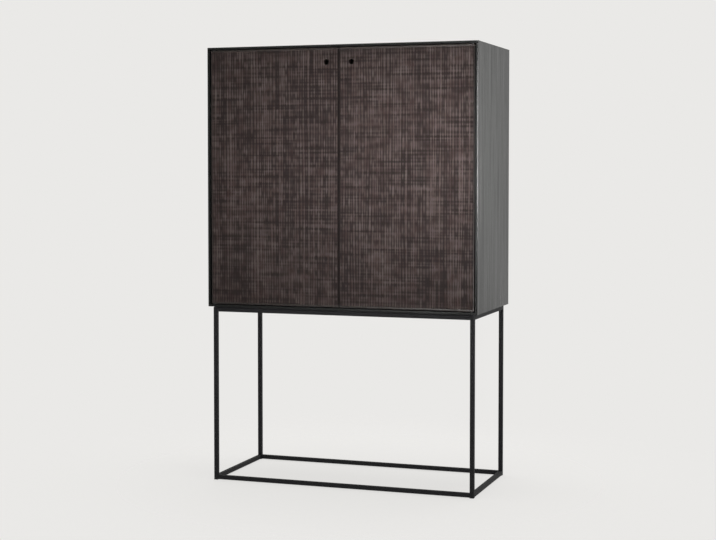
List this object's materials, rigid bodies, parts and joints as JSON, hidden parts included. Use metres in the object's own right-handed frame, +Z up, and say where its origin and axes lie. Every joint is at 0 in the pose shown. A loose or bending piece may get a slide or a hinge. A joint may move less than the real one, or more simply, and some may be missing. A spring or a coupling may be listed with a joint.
{
  "type": "bar cabinet",
  "caption": "Tall bar cabinet: dark wooden box with carved hinged doors and a fold-out shelf inside, raised on a slim black square-tube stand.",
  "frame": {"origin": "on the floor, below the middle of the cabinet", "axes": "+Z up, -Y the front with the doors, +X to the right seen from the front"},
  "size_m": [1, 0.45, 1.56],
  "materials": {
    "stand_black_steel": "matt black powder coat",
    "stained_carcass_wood": "black stain, matt lacquer",
    "carved_door_wood": "carved crosswise, umber stain, matt lacquer",
    "stained_inside_wood": "dark stain, satin lacquer",
    "stained_back_board": "black stain, matt",
    "pale_beech": "bare",
    "aged_brass": "satin, aged",
    "zinc_steel": "bright zinc",
    "magnet": "nickel plated",
    "black_plastic": "moulded",
    "black_nylon": "turned",
    "black_zinc_steel": "black zinc"
  },
  "bodies": {
    "cabinet": {"back_panel": "stained_back_board", "back_panel_screws": "zinc_steel", "base_bottom_rail_back": "stand_black_steel", "base_bottom_rail_front": "stand_black_steel", "base_bottom_rail_left": "stand_black_steel", "base_bottom_rail_right": "stand_black_steel", "base_leg_back_left": "stand_black_steel", "base_leg_back_right": "stand_black_steel", "base_leg_front_left": "stand_black_steel", "base_leg_front_right": "stand_black_steel", "base_top_rail_back": "stand_black_steel", "base_top_rail_front": "stand_black_steel", "base_top_rail_left": "stand_black_steel", "base_top_rail_right": "stand_black_steel", "batten_screws": "zinc_steel", "bottom_panel": "stained_carcass_wood", "catch_housings": "black_plastic", "catch_magnets": "magnet", "catch_screws": "zinc_steel", "centre_divider": "stained_inside_wood", "divider_dowels": "pale_beech", "floor_glides": "black_plastic", "leaf_cleat_left": "stained_inside_wood", "leaf_cleat_right": "stained_inside_wood", "leaf_hinge_fixed_flaps": "aged_brass", "leaf_hinge_pins": "aged_brass", "leaf_hinge_shelf_screws": "zinc_steel", "leaf_stop_left": "stained_inside_wood", "leaf_stop_magnets": "magnet", "leaf_stop_right": "stained_inside_wood", "left_side_panel": "stained_carcass_wood", "leg_top_plugs": "black_plastic", "mitre_splines": "pale_beech", "pivot_bracket_screws": "zinc_steel", "pivot_brackets": "black_zinc_steel", "pivot_pins": "black_zinc_steel", "pivot_washers": "black_nylon", "rear_shelf": "stained_inside_wood", "right_side_panel": "stained_carcass_wood", "shelf_pins": "zinc_steel", "spacer_plates": "stand_black_steel", "spacer_screws": "zinc_steel", "top_panel": "stained_carcass_wood", "upper_shelf": "stained_inside_wood"},
    "left_door": {"left_door": "carved_door_wood", "left_door_pivot_bushes": "aged_brass", "left_door_strike_plate": "zinc_steel", "left_door_strike_screws": "zinc_steel"},
    "right_door": {"right_door": "carved_door_wood", "right_door_pivot_bushes": "aged_brass", "right_door_strike_plate": "zinc_steel", "right_door_strike_screws": "zinc_steel"},
    "fold_out_shelf": {"fold_out_leaf": "stained_inside_wood", "leaf_hinge_moving_flaps": "aged_brass", "leaf_hinge_leaf_screws": "zinc_steel", "leaf_strike_discs": "zinc_steel"}
  },
  "joints": [
    {"name": "left_door_hinge", "type": "hinge", "parent": "cabinet", "child": "left_door", "pos_m": [-0.478, -0.212, 1.0955], "axis": [0, 0, -1], "range_deg": [0, 105]},
    {"name": "right_door_hinge", "type": "hinge", "parent": "cabinet", "child": "right_door", "pos_m": [0.478, -0.212, 1.0955], "axis": [0, 0, 1], "range_deg": [0, 105]},
    {"name": "fold_out_shelf_hinge", "type": "hinge", "parent": "cabinet", "child": "fold_out_shelf", "pos_m": [0, 0.02, 1.04], "axis": [1, 0, 0], "range_deg": [0, 90]}
  ]
}
